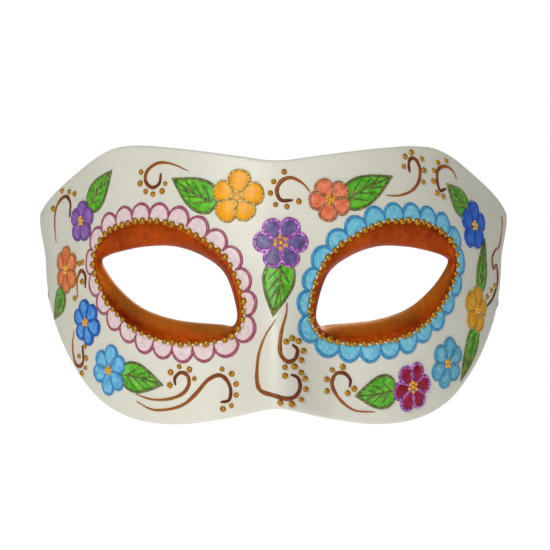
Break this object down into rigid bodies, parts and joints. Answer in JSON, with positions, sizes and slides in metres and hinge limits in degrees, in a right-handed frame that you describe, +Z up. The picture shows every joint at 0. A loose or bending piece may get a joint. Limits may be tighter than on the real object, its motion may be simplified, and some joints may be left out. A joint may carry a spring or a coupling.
{
  "type": "masquerade half mask",
  "caption": "Half mask that wraps a face from temple to temple, with almond eye holes, turned-back lips, raised painted flowers and scrolls, and ribbon ties.",
  "frame": {"origin": "a point on the middle plane at the height of the eye line, just behind the inside of the bridge, where the wearer's nose carries the mask", "axes": "+Z up as worn, -Y out of the face towards a viewer, so the wearer's head is on +Y; +X towards the wearer's left temple, which a viewer sees on the right"},
  "size_m": [0.1714, 0.1389, 0.0972],
  "materials": {
    "gessoed_paper": "satin off-white",
    "copper_paint": "brushed copper sheen",
    "gold_paint": "gold sheen",
    "pink_enamel": "gloss",
    "pale_blue_enamel": "gloss",
    "rose_liner": "gloss",
    "steel_blue_liner": "gloss",
    "purple_enamel": "gloss",
    "orange_enamel": "gloss",
    "royal_blue_enamel": "gloss",
    "sky_blue_enamel": "gloss",
    "yellow_enamel": "gloss",
    "violet_enamel": "gloss",
    "salmon_enamel": "gloss",
    "crimson_enamel": "gloss",
    "green_enamel": "gloss",
    "black_satin": "satin",
    "backing_paper": "matt"
  },
  "bodies": {
    "root": {"mask_shell": "gessoed_paper", "left_eye_rim": "copper_paint", "right_eye_rim": "copper_paint", "left_eye_beads": "gold_paint", "right_eye_beads": "gold_paint", "left_petal_fill": "pink_enamel", "right_petal_fill": "pale_blue_enamel", "left_petal_lines": "rose_liner", "right_petal_lines": "steel_blue_liner", "flower_purple_left": "purple_enamel", "flower_orange_left": "orange_enamel", "flower_blue_left": "royal_blue_enamel", "flower_sky_left": "sky_blue_enamel", "flower_yellow_top": "yellow_enamel", "flower_violet_centre": "violet_enamel", "flower_salmon_top": "salmon_enamel", "flower_blue_right": "royal_blue_enamel", "flower_yellow_right": "yellow_enamel", "flower_sky_right": "sky_blue_enamel", "flower_crimson_right": "crimson_enamel", "flower_centres": "gold_paint", "leaf_temple_left": "green_enamel", "leaf_cheek_left": "green_enamel", "leaf_low_left": "green_enamel", "leaf_top_left": "green_enamel", "leaf_bridge": "green_enamel", "leaf_top_right": "green_enamel", "leaf_temple_right": "green_enamel", "leaf_side_right": "green_enamel", "leaf_cheek_right": "green_enamel", "leaf_low_right": "green_enamel", "scroll_top_left": "copper_paint", "scroll_top_centre": "copper_paint", "scroll_brow_right": "copper_paint", "scroll_temple_right": "copper_paint", "scroll_temple_left": "copper_paint", "scroll_side_left": "copper_paint", "scroll_cheek_left": "copper_paint", "scroll_low_left_inner": "copper_paint", "scroll_low_left_outer": "copper_paint", "scroll_nose_long": "copper_paint", "scroll_nose_short": "copper_paint", "scroll_low_right": "copper_paint", "scroll_edge_right": "copper_paint", "dots_left": "gold_paint", "dots_middle": "gold_paint", "dots_right": "gold_paint", "left_ribbon": "black_satin", "right_ribbon": "black_satin", "ribbon_knot": "black_satin", "left_ribbon_patch": "backing_paper", "right_ribbon_patch": "backing_paper"}
  },
  "joints": []
}
